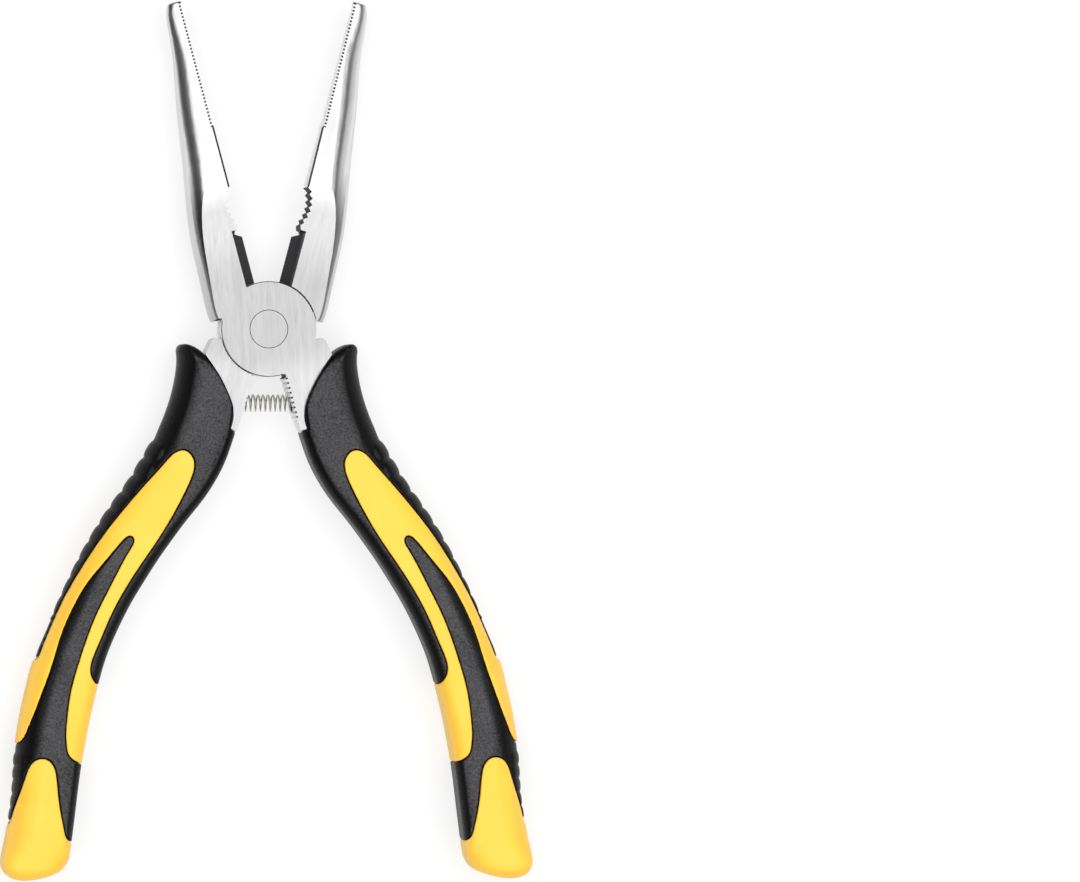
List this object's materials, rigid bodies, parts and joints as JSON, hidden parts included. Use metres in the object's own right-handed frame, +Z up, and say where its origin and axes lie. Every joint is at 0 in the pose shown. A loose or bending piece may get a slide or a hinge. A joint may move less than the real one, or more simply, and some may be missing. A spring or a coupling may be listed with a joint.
{
  "type": "needle nose pliers",
  "caption": "Long tapered jaws with fine teeth, a pipe hollow and side cutters, a lap joint, a return spring and two-colour moulded grips.",
  "frame": {"origin": "centre of the bounding box's bottom face, on the surface that the open pliers lie on", "axes": "+Z up, out of the front face of the joint; +Y along the centre line from the handles to the jaw tips; +X to the right, towards the front half's handle"},
  "size_m": [0.1176, 0.1932, 0.015],
  "materials": {
    "ground_steel": "ground and brushed tool steel, polished on the long noses",
    "rivet_steel": "ground flush with the head",
    "spring_steel": "bright spring wire",
    "yellow_plastic": "smooth moulded plastic, satin gloss",
    "black_soft_plastic": "soft moulded plastic with a fine eroded texture"
  },
  "bodies": {
    "rear_lever": {"rear_half": "ground_steel", "pivot_rivet": "rivet_steel", "rear_grip_core": "yellow_plastic", "rear_grip_upper_sleeve": "black_soft_plastic", "rear_grip_lower_sleeve": "black_soft_plastic"},
    "front_lever": {"front_half": "ground_steel", "front_grip_core": "yellow_plastic", "front_grip_upper_sleeve": "black_soft_plastic", "front_grip_lower_sleeve": "black_soft_plastic"},
    "spring": {"return_spring": "spring_steel"}
  },
  "joints": [
    {"name": "jaw_pivot", "type": "hinge", "parent": "rear_lever", "child": "front_lever", "pos_m": [0, 0.02472, 0.0075], "axis": [0, 0, 1], "range_deg": [-29.6, 0], "stiffness_Nm_per_rad": 0.23, "deforming": ["return_spring"]},
    {"name": "spring_follow", "type": "hinge", "parent": "rear_lever", "child": "spring", "pos_m": [0, 0.02472, 0.0075], "axis": [0, 0, 1], "range_deg": [-14.8, 0]}
  ],
  "couplings": [
    {"joint": "spring_follow", "follows": "jaw_pivot", "ratio": 0.5}
  ]
}
